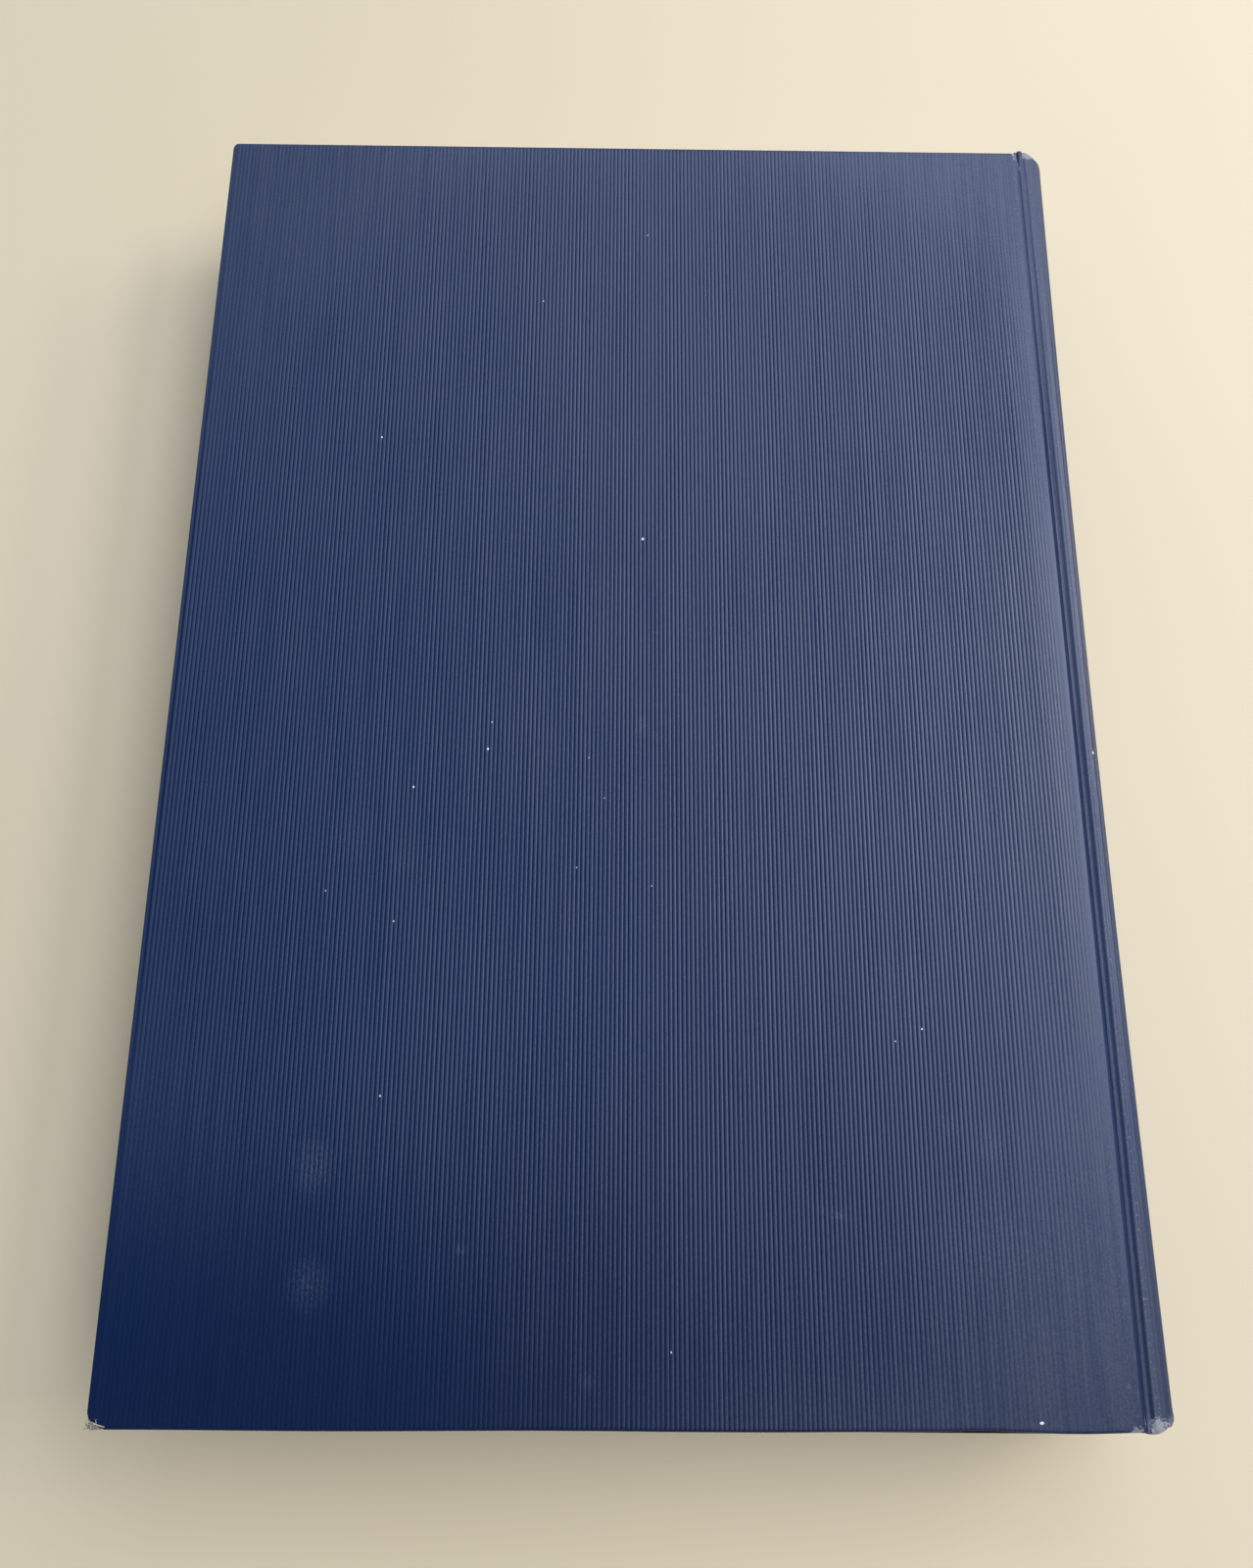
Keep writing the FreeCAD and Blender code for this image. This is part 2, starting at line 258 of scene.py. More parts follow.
def ribbed_bookcloth(name, scuffs=(), flecks=(), tail_gloss=0.77):
    """Cotton cloth filled and coated dark blue, then embossed with ribs.

    The coating gives a dull, broad gloss on the pressed tops of the ribs, a little blue because it
    comes back through the dyed coating. The tops are a little paler, worn by handling, and the furrows
    are painted darker, as shade in the recesses. Handling polishes the tops unevenly, and where the
    coating is worn through, the white cotton shows.

    The ribs are worn flatter towards the cover's corners and beside the joint, and there the furrows'
    painted shade fades. The fore-edge tail corner is dullest, and towards the tail the colour is
    painted darker and greyer, as shade. 'tail_gloss' is the share of the gloss left beside the
    joint's tail end."""
    material, tree, shader = new_material(name)
    # The mark is 1 on the rib tops and lower in the furrows and wherever shade is painted
    rib_tops_and_painted_shade = add(tree, "Attribute", {}, "Fac", attribute_name="rib_tops_and_painted_shade")
    rub = add(tree, "Attribute", {}, "Fac", attribute_name="rub")
    clouds = mottle(tree, (0.02, 0.014, 0.02), 3.0, 0.55)
    streaks = mottle(tree, (0.9, 0.03, 0.9), 2.0, 0.5)
    grain = mottle(tree, (5.0, 4.0, 5.0), 2.0, 0.6)
    speckle = mottle(tree, (2.4, 2.0, 2.4), 3.0, 0.7, (13.0, 5.0, 0.0))

    # How far the furrows' painted shade shows: fully inside the ellipse, less towards the corners and
    # beside the joint
    corner_level = 0.73
    joint_level = 0.76
    sharp = spot(tree, (CRISP_MIDDLE, 0.0), CRISP_HALF_X, CRISP_HALF_Y, 0.4)
    pressed = add(tree, "Mix", {0: sharp, 2: corner_level, 3: rib_tops_and_painted_shade})
    joint_side = spot(tree, (95.0, -60.0), 60.0, 190.0, 0.9)
    joint_side = add(tree, "Math", (joint_side, 0.75), **TIMES)
    pressed = add(tree, "Mix", {0: joint_side, 2: pressed, 3: joint_level})
    tops = add(tree, "MapRange", (pressed, 0.3, 0.9), **SMOOTH)

    # Base colour: paler on the rubbed tops, and darker in the furrows as painted shade
    colour = add(tree, "Mix", {0: tops, 6: linear("051d47"), 7: linear("0a2957")}, 2, **COLOURS)
    dull_corner = spot(tree, (-93.0, -130.0), 150.0, 75.0, 0.95)
    # Painted shade: the colour goes darker and greyer towards the tail
    tail_end = spot(tree, (0.0, -145.0), 300.0, 90.0, 0.95)
    painted_tail_shade = add(tree, "Math", (tail_end, 0.7), **TIMES)
    colour = add(tree, "Mix", {0: painted_tail_shade, 6: colour, 7: linear("0a183c")}, 2, **COLOURS)
    broken = add(tree, "MapRange", (speckle, 0.35, 0.65), **SMOOTH)
    for centre_x, centre_y, half_x, half_y, strength in scuffs:
        place = spot(tree, (centre_x, centre_y), half_x, half_y, 0.9)
        patchy = add(tree, "Math", (place, broken), **TIMES)
        most = 0.3 * strength
        on_tops = add(tree, "MapRange", (rib_tops_and_painted_shade, 0.2, 1.0, 0.35 * most, most), **SMOOTH)
        amount = add(tree, "Math", (patchy, on_tops), use_clamp=True, **TIMES)
        colour = add(tree, "Mix", {0: amount, 6: colour, 7: linear("6c7b98")}, 2, **COLOURS)

    rubbed = add(tree, "Math", (speckle, 1.4, rub), operation="MULTIPLY_ADD")
    worn = add(tree, "MapRange", (rubbed, 1.0, 1.35, 0.0, 0.75), **SMOOTH)
    colour = add(tree, "Mix", {0: worn, 6: colour, 7: linear("a2a8b4")}, 2, **COLOURS)
    for centre_x, centre_y, half_x, half_y in flecks:
        place = spot(tree, (centre_x, centre_y), half_x, half_y, 0.45)
        colour = add(tree, "Mix", {0: place, 6: colour, 7: linear("e4e7ea")}, 2, **COLOURS)
    tree.links.new(colour, shader.inputs["Base Color"])

    joint_tail = spot(tree, (85.0, -140.0), 150.0, 75.0, 0.95)
    gloss = add(tree, "MapRange", (tops, 0.0, 1.0, 0.15, 1.0), **SMOOTH)
    polishes = [
        (clouds, 0.30, 0.72, 0.85, 1.1),
        (streaks, 0.25, 0.75, 0.85, 1.15),
        (speckle, 0.35, 0.65, 0.82, 1.18),
        (dull_corner, 0.0, 1.0, 1.0, 0.2),
        (joint_tail, 0.0, 1.0, 1.0, tail_gloss),
    ]
    for pattern in polishes:
        polish = add(tree, "MapRange", pattern, **SMOOTH)
        gloss = add(tree, "Math", (gloss, polish), **TIMES)
    gloss = add(tree, "Math", (gloss, 1.0), operation="MINIMUM")
    tree.links.new(gloss, shader.inputs["Specular IOR Level"])
    shader.inputs["Specular Tint"].default_value = linear("e0e7ff")
    matt = add(tree, "MapRange", (grain, 0.2, 0.8, 0.42, 0.54), **SMOOTH)
    matt = add(tree, "Math", (worn, 0.3, matt), operation="MULTIPLY_ADD")
    tree.links.new(matt, shader.inputs["Roughness"])
    shader.inputs["IOR"].default_value = 1.5
    relief = add(tree, "Bump", {"Height": grain, "Strength": 0.3, "Distance": 0.03 * MM})
    tree.links.new(relief, shader.inputs["Normal"])
    return material


def page_edges():
    """The cut edges of uncoated paper, seen as close lines one leaf or a few leaves apart.

    Single leaves, 0.1 mm thick, are too fine to show, so the lines are drawn about 0.2 mm apart.
    They yellow a little and unevenly where air and hands reach them."""
    material, tree, shader = new_material("cut_paper_edges")
    leaves = mottle(tree, (0.015, 0.015, 5.0), 3.0, 0.7)
    groups = mottle(tree, (0.006, 0.006, 0.7), 2.0, 0.6, (3.0, 1.0, 7.0))
    stain = mottle(tree, (0.03, 0.03, 0.12), 3.0, 0.6)
    pale = add(tree, "MapRange", (leaves, 0.35, 0.65), **SMOOTH)
    colour = add(tree, "Mix", {0: pale, 6: linear("b8ab8c"), 7: linear("e8dfc8")}, 2, **COLOURS)
    darker = add(tree, "MapRange", (groups, 0.5, 0.7, 0.0, 0.35), **SMOOTH)
    colour = add(tree, "Mix", {0: darker, 6: colour, 7: linear("a5977a")}, 2, **COLOURS)
    yellowed = add(tree, "MapRange", (stain, 0.5, 0.8, 0.0, 0.25), **SMOOTH)
    colour = add(tree, "Mix", {0: yellowed, 6: colour, 7: linear("c9b78c")}, 2, **COLOURS)
    tree.links.new(colour, shader.inputs["Base Color"])
    shader.inputs["Roughness"].default_value = 0.85
    shader.inputs["IOR"].default_value = 1.45
    relief = add(tree, "Bump", {"Height": leaves, "Strength": 0.6, "Distance": 0.08 * MM})
    tree.links.new(relief, shader.inputs["Normal"])
    return material


def endpaper():
    """Plain off-white endpaper: matt, faintly mottled by its fibres and browned in a few places."""
    material, tree, shader = new_material("off_white_endpaper")
    fibres = mottle(tree, (0.7, 1.1, 0.7), 5.0, 0.65)
    cloudy = mottle(tree, (0.03, 0.03, 0.03), 3.0, 0.5)
    pale = add(tree, "MapRange", (fibres, 0.3, 0.7), **SMOOTH)
    colour = add(tree, "Mix", {0: pale, 6: linear("dcd3bd"), 7: linear("ece5d4")}, 2, **COLOURS)
    browned = add(tree, "MapRange", (cloudy, 0.5, 0.8, 0.0, 0.15), **SMOOTH)
    colour = add(tree, "Mix", {0: browned, 6: colour, 7: linear("d3c6a6")}, 2, **COLOURS)
    tree.links.new(colour, shader.inputs["Base Color"])
    shader.inputs["Roughness"].default_value = 0.8
    shader.inputs["IOR"].default_value = 1.45
    relief = add(tree, "Bump", {"Height": fibres, "Strength": 0.25, "Distance": 0.03 * MM})
    tree.links.new(relief, shader.inputs["Normal"])
    return material


def greyboard():
    """Binder's greyboard, pressed from mixed waste paper: grey-brown with paler and darker fibres."""
    material, tree, shader = new_material("pressed_greyboard")
    fibres = mottle(tree, (2.5, 2.5, 2.5), 6.0, 0.75)
    flecks = mottle(tree, (1.2, 3.0, 1.2), 3.0, 0.6, (4.0, 9.0, 2.0))
    pale = add(tree, "MapRange", (fibres, 0.3, 0.7), **SMOOTH)
    colour = add(tree, "Mix", {0: pale, 6: linear("7a756c"), 7: linear("b3aea3")}, 2, **COLOURS)
    flecked = add(tree, "MapRange", (flecks, 0.6, 0.75, 0.0, 0.6), **SMOOTH)
    colour = add(tree, "Mix", {0: flecked, 6: colour, 7: linear("bdb8ad")}, 2, **COLOURS)
    tree.links.new(colour, shader.inputs["Base Color"])
    shader.inputs["Roughness"].default_value = 0.95
    relief = add(tree, "Bump", {"Height": fibres, "Strength": 0.8, "Distance": 0.15 * MM})
    tree.links.new(relief, shader.inputs["Normal"])
    return material


def torn_fibres():
    """Torn cotton and board fibres: pale, matt and soft, in greyer and whiter threads."""
    material, tree, shader = new_material("torn_cotton_fibres")
    mixed = mottle(tree, (1.6, 1.6, 1.6), 2.0, 0.6)
    pale = add(tree, "MapRange", (mixed, 0.35, 0.65), **SMOOTH)
    colour = add(tree, "Mix", {0: pale, 6: linear("918d85"), 7: linear("cfccc4")}, 2, **COLOURS)
    tree.links.new(colour, shader.inputs["Base Color"])
    shader.inputs["Roughness"].default_value = 0.9
    shader.inputs["Sheen Weight"].default_value = 0.2
    return material


def spine_card():
    """Thin brown-grey card for the spine inlay, smoother than the boards."""
    material, tree, shader = new_material("smooth_spine_card")
    fibres = mottle(tree, (2.0, 0.8, 2.0), 4.0, 0.6)
    pale = add(tree, "MapRange", (fibres, 0.3, 0.7), **SMOOTH)
    colour = add(tree, "Mix", {0: pale, 6: linear("8d8069"), 7: linear("aa9d86")}, 2, **COLOURS)
    tree.links.new(colour, shader.inputs["Base Color"])
    shader.inputs["Roughness"].default_value = 0.85
    return material


def glued_mull():
    """Open-weave mull under glued kraft paper: matt, with paler threads across the spine.

    The real threads are less than 1 mm apart. They are drawn about 1.6 mm apart so that they show."""
    material, tree, shader = new_material("glued_mull")
    place = place_in_mm(tree, (0.0, 1.0, 0.0))
    threads = add(tree, "TexWave", {"Vector": place, "Scale": 0.2, "Distortion": 0.6}, "Fac",
                  bands_direction="Y")
    colour = add(tree, "Mix", {0: threads, 6: linear("b3a98f"), 7: linear("ddd6c4")}, 2, **COLOURS)
    tree.links.new(colour, shader.inputs["Base Color"])
    shader.inputs["Roughness"].default_value = 0.9
    return material


def band_yarn():
    """Silky cotton yarn wound round a cord: turns of white and of blue, three of each in a row."""
    material, tree, shader = new_material("wound_band_yarn")
    blue_turn = add(tree, "Attribute", {}, "Fac", attribute_name="blue_turn")
    swell = add(tree, "Attribute", {}, "Fac", attribute_name="swell")
    blue = add(tree, "MapRange", (blue_turn, 0.4, 0.6), **SMOOTH)
    colour = add(tree, "Mix", {0: blue, 6: linear("dcdad2"), 7: linear("27407c")}, 2, **COLOURS)
    lit = add(tree, "MapRange", (swell, 0.2, 0.9), **SMOOTH)
    colour = add(tree, "Mix", {0: lit, 6: linear("4b4d55"), 7: colour}, 2, **COLOURS)
    tree.links.new(colour, shader.inputs["Base Color"])
    shader.inputs["Roughness"].default_value = 0.55
    shader.inputs["Sheen Weight"].default_value = 0.25
    return material


def table_top():
    """A plain cream laminate, even and matt. It stays clear of the object."""
    material, tree, shader = new_material("cream_laminate")
    clouds = mottle(tree, (0.004, 0.004, 0.004), 2.0, 0.5)
    pale = add(tree, "MapRange", (clouds, 0.3, 0.7), **SMOOTH)
    colour = add(tree, "Mix", {0: pale, 6: linear("e0d6c0"), 7: linear("e4dac5")}, 2, **COLOURS)
    tree.links.new(colour, shader.inputs["Base Color"])
    shader.inputs["Roughness"].default_value = 0.6
    shader.inputs["IOR"].default_value = 1.45
    return material


# Meshes


def mesh_piece(name, points, faces, material, marks):
    """A smooth closed mesh from points in millimetres and faces that are turned outwards.

    'marks' are named values, one for each point."""
    mesh = bpy.data.meshes.new(name)
    mesh.from_pydata((points.reshape(-1, 3) * MM).tolist(), [], faces)
    for key, values in marks.items():
        layer = mesh.attributes.new(key, "FLOAT", "POINT")
        layer.data.foreach_set("value", values.ravel())
    mesh.polygons.foreach_set("use_smooth", np.ones(len(mesh.polygons), bool))
    shell = bmesh.new()
    shell.from_mesh(mesh)
    bmesh.ops.recalc_face_normals(shell, faces=shell.faces)
    shell.to_mesh(mesh)
    shell.free()
    mesh.materials.append(material)
    piece = bpy.data.objects.new(name, mesh)
    bpy.context.scene.collection.objects.link(piece)
    return piece


def grid_piece(name, points, material, around=False, capped=False, marks=None):
    """A mesh over rows and columns of points, in millimetres.

    Neighbouring points are joined by quads. 'around' joins each row's last point to its first, and
    'capped' closes the first and the last row with one flat face each. 'marks' are kept on the points."""
    rows, columns = points.shape[:2]
    index = np.arange(rows * columns).reshape(rows, columns)
    if around:
        index = np.hstack([index, index[:, :1]])
    faces = quads_over(index).tolist()
    if capped:
        faces.append(index[0, :columns].tolist()[::-1])
        faces.append(index[-1, :columns].tolist())
    spread = {key: np.broadcast_to(values, (rows, columns)) for key, values in (marks or {}).items()}
    return mesh_piece(name, points, faces, material, spread)


def quads_over(index):
    """The quads that join neighbouring points of a grid, from the grid of the points' numbers."""
    corners = [index[:-1, :-1], index[:-1, 1:], index[1:, 1:], index[1:, :-1]]
    return np.stack(corners, axis=-1).reshape(-1, 4)


def turned_over(points):
    """The same points mirrored in the book's middle plane."""
    flipped = points.copy()
    flipped[..., 2] = 2 * middle - flipped[..., 2]
    return flipped


def quarter(steps):
    """How far in and how far down a quarter round goes, as shares of its radius."""
    turn = np.linspace(0, math.pi / 2, steps)
    return 1 - np.cos(turn), 1 - np.sin(turn)


def cover_outline():
    """The cross-section of a covered board, from its inner fore-edge corner over the top.

    Up the fore-edge and over its round, across the ribs, then finer and fading ribs, the pressed
    smooth band and the slope into the joint, and back along the flat inner face. Returns x, z and a
    mark from 0 to 1: how high each point stands on its rib, and painted shade, low and so darker,
    over the fore-edge's round and down the slope into the joint."""
    run_in, run_down = quarter(6)
    edge_x = cover_left + EDGE_ROLL * run_in
    edge_z = thickness - EDGE_ROLL * run_down - 0.3 * RIB_DEPTH

    slope_start = cover_right - JOINT_SLOPE
    fine_start = slope_start - SMOOTH_BAND - FINE_RIB_COUNT * FINE_RIB_PITCH
    first_rib = cover_left + EDGE_ROLL + 0.1
    count = int((fine_start - first_rib) / RIB_PITCH)
    first_rib = fine_start - count * RIB_PITCH
    rib_x = (first_rib + RIB_PITCH * (np.arange(count)[:, None] + RIB_STEPS)).ravel()
    rib_top = np.tile(RIB_SHAPE, count)
    rib_z = thickness - RIB_DEPTH * (1 - rib_top)

    fine = np.arange(FINE_RIB_COUNT)[:, None]
    fine_x = (fine_start + FINE_RIB_PITCH * (fine + RIB_STEPS)).ravel()
    fading = np.repeat(np.linspace(0.8, 0.4, FINE_RIB_COUNT), len(RIB_STEPS))
    fine_top = 1 - fading * (1 - np.tile(RIB_SHAPE, FINE_RIB_COUNT))
    fine_z = thickness - RIB_DEPTH * (1 - fine_top)

    band_x = np.linspace(slope_start - SMOOTH_BAND, slope_start, 5)
    band_z = thickness - 0.02 * np.array([1.0, 0.0, 0.2, 1.0, 2.0])
    share = np.array([0.15, 0.3, 0.45, 0.6, 0.75, 0.88, 0.96, 0.99, 1.0])
    roll_x = slope_start + JOINT_SLOPE * share
    roll_z = thickness - 0.04 - JOINT_DROP * share ** 2 - np.array([0, 0, 0, 0, 0, 0, 0.01, 0.05, 0.14])

    turn_x = np.array([cover_right, cover_right - 0.2, 60.0, 20.0, -20.0, -60.0, cover_left + 0.3])
    turn_z = np.full(len(turn_x), inner_face)
    turn_z[0] += 0.2
    wall_x = np.array([cover_left, cover_left])
    wall_z = np.array([inner_face + 0.3, inner_face + 1.4])

    x = np.concatenate([edge_x, rib_x, fine_x, band_x, roll_x, turn_x, wall_x])
    z = np.concatenate([edge_z, rib_z, fine_z, band_z, roll_z, turn_z, wall_z])
    # Off the ribs the mark is painted shade: low over the fore-edge's round, falling down the slope into
    # the joint
    top = np.concatenate([np.linspace(0.0, 0.95, len(edge_x)) ** 1.5, rib_top, fine_top,
                          np.full(len(band_x), 0.9), np.linspace(0.85, 0.45, len(roll_x)),
                          np.full(len(turn_x), 0.6), np.full(len(wall_x), 0.5)])
    return x, z, top


def end_distances(near_tail):
    """Places along a cover at which its outline is repeated, and how far each is from head or tail."""
    roll = EDGE_ROLL * quarter(6)[0]
    tail = np.concatenate([roll, near_tail])
    middle_rows = np.linspace(-half_cover + 22, half_cover - 22, 12)
    head = np.concatenate([roll, PLAIN_ROWS])
    y = np.concatenate([-half_cover + tail, middle_rows, (half_cover - head)[::-1]])
    return y, half_cover - np.abs(y)


def wear_back(points, x, y, share):
    """Wears the back cover: its tail edge gets a little wavy, and its fore-edge tail corner is crushed,
    where the cloth sinks below the board's surface.

    Moves the points, and returns how far each is rubbed, at the corners and at the joint's ends."""
    near = 1 - smooth(0.0, 7.0, y + half_cover)[:, None]
    wave = 0.18 * np.sin((x - 48) / 5.2) * smooth(44, 56, x) - 0.08 * np.sin(x / 11.0)
    points[..., 1] += near * wave
    to_corner = (points[..., 0] - cover_left) / 3.5 + (points[..., 1] + half_cover) / 2.7
    ragged = 0.15 * soft_noise(to_corner.shape, 5, 1)
    crush = 1 - smooth(0.45, 0.95, to_corner + ragged)
    upper = smooth(0.25, 0.8, share)
    points[..., 0] += 0.55 * crush * (0.4 + upper)
    points[..., 1] += 0.5 * crush * (0.4 + upper)
    points[..., 2] -= 0.75 * crush * upper
    rub = 0.5 * (1 - smooth(0.6, 1.5, to_corner)) * upper
    head_corner = np.hypot(points[..., 0] - cover_left, points[..., 1] - half_cover)
    rub += 0.35 * (1 - smooth(0.5, 2.5, head_corner))
    joint_tail = np.hypot((points[..., 0] - cover_right) / 2.5, points[..., 1] + half_cover)
    rub += 0.42 * (1 - smooth(0.5, 2.0, joint_tail))
    joint_head = np.hypot(points[..., 0] - cover_right, (points[..., 1] - half_cover) / 2.4)
    rub += 0.5 * (1 - smooth(0.5, 1.6, joint_head))
    return rub


def cover_cloth(worn):
    """A board in its cloth: the cross-section carried from tail to head.

    Towards head and tail the section is squeezed between its faces by a quarter round, and its
    fore-edge side moves in by the corner's round. The furrows get shallower outside an ellipse on
    the cover and beside the joint's tail end. Returns the points and their marks."""
    x, z, top = cover_outline()
    y, distance = end_distances(CRUSHED_ROWS if worn else PLAIN_ROWS)
    inside = np.clip(EDGE_ROLL - distance, 0, EDGE_ROLL)
    drop = EDGE_ROLL - np.sqrt(EDGE_ROLL ** 2 - inside ** 2)
    share = (z - inner_face) / (thickness - inner_face)
    high = thickness - drop[:, None]
    low = inner_face + 0.4 * drop[:, None]
    corner_in = np.clip(CORNER_ROUND - distance, 0, CORNER_ROUND)
    corner = CORNER_ROUND - np.sqrt(CORNER_ROUND ** 2 - corner_in ** 2)
    from_edge = x - cover_left
    pull = 1 - smooth(0.0, 3.0, from_edge)

    from_middle = np.hypot((x - CRISP_MIDDLE) / CRISP_HALF_X, y[:, None] / CRISP_HALF_Y)
    worn_flat = 0.6 * smooth(0.6, 1.0, from_middle)
    by_joint = 0.25 * smooth(20.0, 80.0, x) * smooth(30.0, 110.0, -y[:, None])
    worn_flat = np.minimum(worn_flat + by_joint, 0.9)
    on_top = share > 0.9
    share = share + worn_flat * RIB_DEPTH * (1 - top) * on_top / (thickness - inner_face)

    points = np.zeros((len(y), len(x), 3))
    points[..., 0] = x + corner[:, None] * pull
    points[..., 1] = y[:, None]
    points[..., 2] = low + share * (high - low)
    rub = wear_back(points, x, y, share) if worn else np.zeros(points.shape[:2])
    rolled = 1 - smooth(0.0, 1.0, distance)[:, None]
    rub += 0.16 * rolled
    band = smooth(cover_right - 2.4, cover_right - 1.8, x) * (1 - smooth(-0.9, -0.2, x - cover_right))
    rub += 0.12 * band
    # The mark drops on the rolled ends at head and tail: painted shade, darker and less glossy
    return points, {"rib_tops_and_painted_shade": top * (1 - 0.85 * rolled), "rub": rub}


def spine_outline():
    """The outside of the spine's cloth across the book, in even steps of a fifth of a rib.

    The groove's floor with one low raised fold along it, a short rise, the shoulder's round, the spine's
    wide arc down to the middle, and the same mirrored. Returns x, z and the outward direction."""
    groove_x = np.linspace(ledge_x, shoulder_x, 60)
    round_z = shoulder_z + np.sqrt(SHOULDER_RADIUS ** 2 - (groove_x - shoulder_x) ** 2)
    ridge_x = cover_right + RIDGE_PLACE
    floor_z = groove_floor + GROOVE_RIDGE * np.exp(-((groove_x - ridge_x) / 0.15) ** 2)
    groove_z = floor_z + (round_z - floor_z) * smooth(groove_end - 0.45, groove_end + 0.05, groove_x)
    shoulder = np.linspace(math.pi / 2, shoulder_angle, 40)[1:]
    arc = np.linspace(shoulder_angle, 0, 80)[1:]
    x = np.concatenate([groove_x, shoulder_x + SHOULDER_RADIUS * np.cos(shoulder),
                        spine_x + spine_radius * np.cos(arc)])
    z = np.concatenate([groove_z, shoulder_z + SHOULDER_RADIUS * np.sin(shoulder),
                        middle + spine_radius * np.sin(arc)])
    run = np.concatenate([[0], np.cumsum(np.hypot(np.diff(x), np.diff(z)))])
    even = np.linspace(0, run[-1], int(run[-1] / (RIB_PITCH / 5)))
    x = np.interp(even, run, x)
    z = np.interp(even, run, z)
    x = np.concatenate([x, x[-2::-1]])
    z = np.concatenate([z, 2 * middle - z[-2::-1]])
    along_x = np.gradient(x)
    along_z = np.gradient(z)
    step = np.hypot(along_x, along_z)
    return x, z, -along_z / step, along_x / step


def cap_lift(y):
    """How far the cloth fills the groove at each place along the book: more at the caps and the head."""
    share = np.where(y > 0, 1.0, 0.75)
    cap = CAP_LIFT * share * (1 - smooth(0.3, CAP_LENGTH, half_cover - np.abs(y)))
    return cap + HEAD_LIFT * smooth(0, half_cover, y)


def spine_loop(head_end, tail_end, build):
    """One loop of the spine's cloth, for every place across the spine at once.

    It runs along the outside from tail to head, turns in by a half round, and comes back along the
    inside. Returns each point's y, its offset from the outer surface, which is 0 or below, and
    how many of the points are outer ones."""
    radius = build / 2
    run_in, run_down = quarter(6)
    body = np.array([1.3, 1.9, 2.6, 3.6, 5.0, 8.0, 14.0, 30.0, 60.0, 90.0])
    halves = []
    for end, side in ((tail_end, -1), (head_end, 1)):
        rolled = [(side * (end - radius * i), -radius * d) for i, d in zip(run_in, run_down)]
        straight = [(side * (end - d), 0 * radius) for d in body]
        halves.append(rolled + straight)
    outer = halves[0] + [(0 * radius, 0 * radius)] + halves[1][::-1]
    inner_head = [(head_end - radius * i, -build + radius * d) for i, d in zip(run_in[1:], run_down[1:])]
    inner_tail = [(-tail_end + radius * i, -build + radius * d) for i, d in zip(run_in[1:], run_down[1:])]
    loop = outer + inner_head + inner_tail[::-1]
    y = np.array([place for place, _ in loop])
    offset = np.array([sink for _, sink in loop])
    return y, offset, len(outer)


def spine_cloth(material):
    """The spine's cloth: at each place across the spine, one loop along the outside from tail to head,
    round the head cap, back along the inside and round the tail cap.

    The outside is raised by ribs one pitch apart, weaker over the shoulder. The whole spine is bowed
    along its length: it stands out further at head and tail than in the middle. At head and tail the
    cloth fills the groove, stands out a little past the cover at the joint, falls back past the
    shoulder, and is crumpled and rubbed."""
    x, z, out_x, out_z = spine_outline()
    phase = np.arange(len(x)) / len(RIB_STEPS) % 1.0
    height = np.interp(phase, np.append(RIB_STEPS, 1.0), np.append(RIB_SHAPE, 0.0))
    in_groove = 1 - smooth(groove_end - 0.5, groove_end + 0.1, x)
    past_shoulder = smooth(shoulder_x + 0.8, shoulder_x + 1.8, x)
    depth = RIB_DEPTH * (1 - in_groove) * (0.5 + 0.5 * past_shoulder)

    build = 0.5 + (CASE_EDGE - 0.5) * past_shoulder
    upper = (z > middle) * 1.0
    bump = np.exp(-((x - groove_end) / 1.9) ** 2)
    fall_back = smooth(groove_end + 0.4, groove_end + 2.2, x)
    head_end = half_cover - 0.1 + bump * (0.3 + 0.4 * upper) - 1.0 * fall_back
    tail_end = half_cover - 0.1 + 0.4 * bump - 0.4 * fall_back
    y, offset, outer_points = spine_loop(head_end, tail_end, build)
    is_outer = np.zeros((len(y), 1))
    is_outer[:outer_points] = 1

    distance = half_cover - np.abs(y)
    offset = offset + is_outer * smooth(0.2, 1.6, distance) * depth * (height - 1)
    offset = offset + cap_lift(y) * in_groove
    crumple = soft_noise(y.shape, 11, 1)
    offset = offset + is_outer * 0.16 * crumple * (1 - smooth(0.8, 4.0, distance))
    bow = (y / half_cover) ** 2 - 0.35
    bow = bow * smooth(groove_end + 0.3, groove_end + 3.0, x)
    points = np.stack([x + bow + offset * out_x, y, z + offset * out_z], axis=-1)

    over = 1 - in_groove
    near_joint = np.exp(-((x - groove_end - 1.5) / 2.3) ** 2)
    head_cap = (1 - smooth(0.6, 1.9, half_cover - y)) * (0.4 + 0.35 * upper) * near_joint
    tail_cap = (1 - smooth(1.0, 3.2, half_cover + y)) * (0.25 + 0.25 * over)
    shoulder = np.exp(-((x - groove_end - 0.8) / 0.9) ** 2)
    shoulder = shoulder * (0.24 - 0.08 * smooth(-30, 60, y))
    rub = (head_cap + tail_cap + shoulder) * is_outer
    # Painted shade in the mark: the groove is kept dark, lighter towards the head and on its fold's top,
    # and a dark strip is painted just past the shoulder
    middle_ridge = 0.35 * np.exp(-((x - cover_right - RIDGE_PLACE) / 0.18) ** 2)
    painted_shade_strip = 1 - 0.6 * np.exp(-((x - groove_end - 2.0) / 0.22) ** 2)
    faint = 0.55 + 0.45 * height
    in_light = 0.15 + 0.35 * smooth(-20, 110, y)
    on_spine = painted_shade_strip * (faint + (height - faint) * past_shoulder)
    rib_tops_and_painted_shade = in_groove * (in_light + middle_ridge) + over * on_spine
    marks = {"rib_tops_and_painted_shade": rib_tops_and_painted_shade.T, "rub": rub.T}
    return grid_piece("spine_cloth", points.transpose(1, 0, 2), material, around=True, capped=True,
                      marks=marks)


